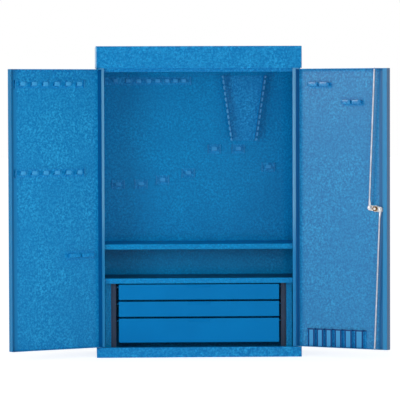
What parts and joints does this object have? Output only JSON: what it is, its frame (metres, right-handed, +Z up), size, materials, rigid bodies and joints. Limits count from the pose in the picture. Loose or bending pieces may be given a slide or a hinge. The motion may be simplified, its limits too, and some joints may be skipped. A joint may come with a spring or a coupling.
{
  "type": "tool cabinet",
  "caption": "Wall tool cabinet in folded sheet steel with hinged doors on a rod lock, shelves, drawers, hook strips, clips and a spanner rack.",
  "frame": {"origin": "middle of the carcass footprint on the floor", "axes": "+X to the viewer's right along the width, +Y to the back panel, +Z up; doors stand open at rest"},
  "size_m": [1.1929, 0.4332, 0.99],
  "materials": {
    "cabinet_paint": "hammertone paint",
    "drawer_paint": "smooth semi-gloss paint",
    "zinc_plate": "zinc plated",
    "bright_rod": "bright drawn",
    "brass": "plain",
    "handle_chrome": "polished",
    "washer_plastic": "plain"
  },
  "bodies": {
    "carcass": {"header_cap": "cabinet_paint", "base_tray": "cabinet_paint", "left_side_wall": "cabinet_paint", "right_side_wall": "cabinet_paint", "back_panel": "cabinet_paint", "top_rail": "cabinet_paint", "upper_shelf": "cabinet_paint", "lower_shelf": "cabinet_paint", "left_shelf_bracket": "cabinet_paint", "right_shelf_bracket": "cabinet_paint", "left_housing_side": "cabinet_paint", "right_housing_side": "cabinet_paint", "left_top_runner": "zinc_plate", "right_top_runner": "zinc_plate", "left_middle_runner": "zinc_plate", "right_middle_runner": "zinc_plate", "left_bottom_runner": "zinc_plate", "right_bottom_runner": "zinc_plate", "left_runner_post": "zinc_plate", "right_runner_post": "zinc_plate", "left_upper_hinge_pin": "cabinet_paint", "left_lower_hinge_pin": "cabinet_paint", "right_upper_hinge_pin": "cabinet_paint", "right_lower_hinge_pin": "cabinet_paint", "left_hinge_washer": "washer_plastic", "right_hinge_washer": "washer_plastic", "spanner_rack": "cabinet_paint", "back_hook_strip": "cabinet_paint", "tool_clip_1": "cabinet_paint", "tool_clip_2": "cabinet_paint", "tool_clip_3": "cabinet_paint", "tool_clip_4": "cabinet_paint", "tool_clip_5": "cabinet_paint", "tool_clip_6": "cabinet_paint", "tool_clip_7": "cabinet_paint"},
    "left_door": {"left_door_panel": "cabinet_paint", "left_door_upper_strip": "cabinet_paint", "left_door_lower_strip": "cabinet_paint", "left_door_loop_holder": "cabinet_paint"},
    "right_door": {"right_door_panel": "cabinet_paint", "right_door_upper_loop_holder": "cabinet_paint", "right_door_lower_loop_holder": "cabinet_paint", "bit_pocket_strip": "cabinet_paint", "lock_rosette": "handle_chrome"},
    "lock": {"lock_handle": "handle_chrome", "key_cylinder": "brass", "lock_spindle": "zinc_plate", "lock_cam": "zinc_plate", "cam_nut": "brass", "upper_cam_pin": "zinc_plate", "lower_cam_pin": "zinc_plate"},
    "upper_rod": {"upper_lock_rod": "bright_rod"},
    "lower_rod": {"lower_lock_rod": "bright_rod"},
    "top_drawer": {"top_drawer_front": "drawer_paint", "top_drawer_tray": "cabinet_paint"},
    "middle_drawer": {"middle_drawer_front": "drawer_paint", "middle_drawer_tray": "cabinet_paint"},
    "bottom_drawer": {"bottom_drawer_front": "drawer_paint", "bottom_drawer_tray": "cabinet_paint"}
  },
  "joints": [
    {"name": "left_door_hinge", "type": "hinge", "parent": "carcass", "child": "left_door", "pos_m": [-0.3208, -0.1208, 0.4757], "axis": [0, 0, -1], "range_deg": [-150.5, 29.5]},
    {"name": "right_door_hinge", "type": "hinge", "parent": "carcass", "child": "right_door", "pos_m": [0.3208, -0.1208, 0.4757], "axis": [0, 0, 1], "range_deg": [-147.5, 32.5]},
    {"name": "lock_turn", "type": "hinge", "parent": "right_door", "child": "lock", "pos_m": [0.55147, -0.26775, 0.4765], "axis": [0.5373, 0.8434, 0], "range_deg": [0, 80]},
    {"name": "upper_rod_pivot", "type": "hinge", "parent": "lock", "child": "upper_rod", "pos_m": [0.53079, -0.26525, 0.47937], "axis": [0.5373, 0.8434, 0], "range_deg": [-82.6, 0]},
    {"name": "lower_rod_pivot", "type": "hinge", "parent": "lock", "child": "lower_rod", "pos_m": [0.56247, -0.28543, 0.47363], "axis": [0.5373, 0.8434, 0], "range_deg": [-82.6, 0]},
    {"name": "top_drawer_slide", "type": "slide", "parent": "carcass", "child": "top_drawer", "axis": [0, -1, 0], "range_m": [0, 0.16]},
    {"name": "middle_drawer_slide", "type": "slide", "parent": "carcass", "child": "middle_drawer", "axis": [0, -1, 0], "range_m": [0, 0.16]},
    {"name": "bottom_drawer_slide", "type": "slide", "parent": "carcass", "child": "bottom_drawer", "axis": [0, -1, 0], "range_m": [0, 0.16]}
  ],
  "couplings": [
    {"joint": "upper_rod_pivot", "follows": "lock_turn", "ratio": -1.0299},
    {"joint": "lower_rod_pivot", "follows": "lock_turn", "ratio": -1.0298}
  ]
}
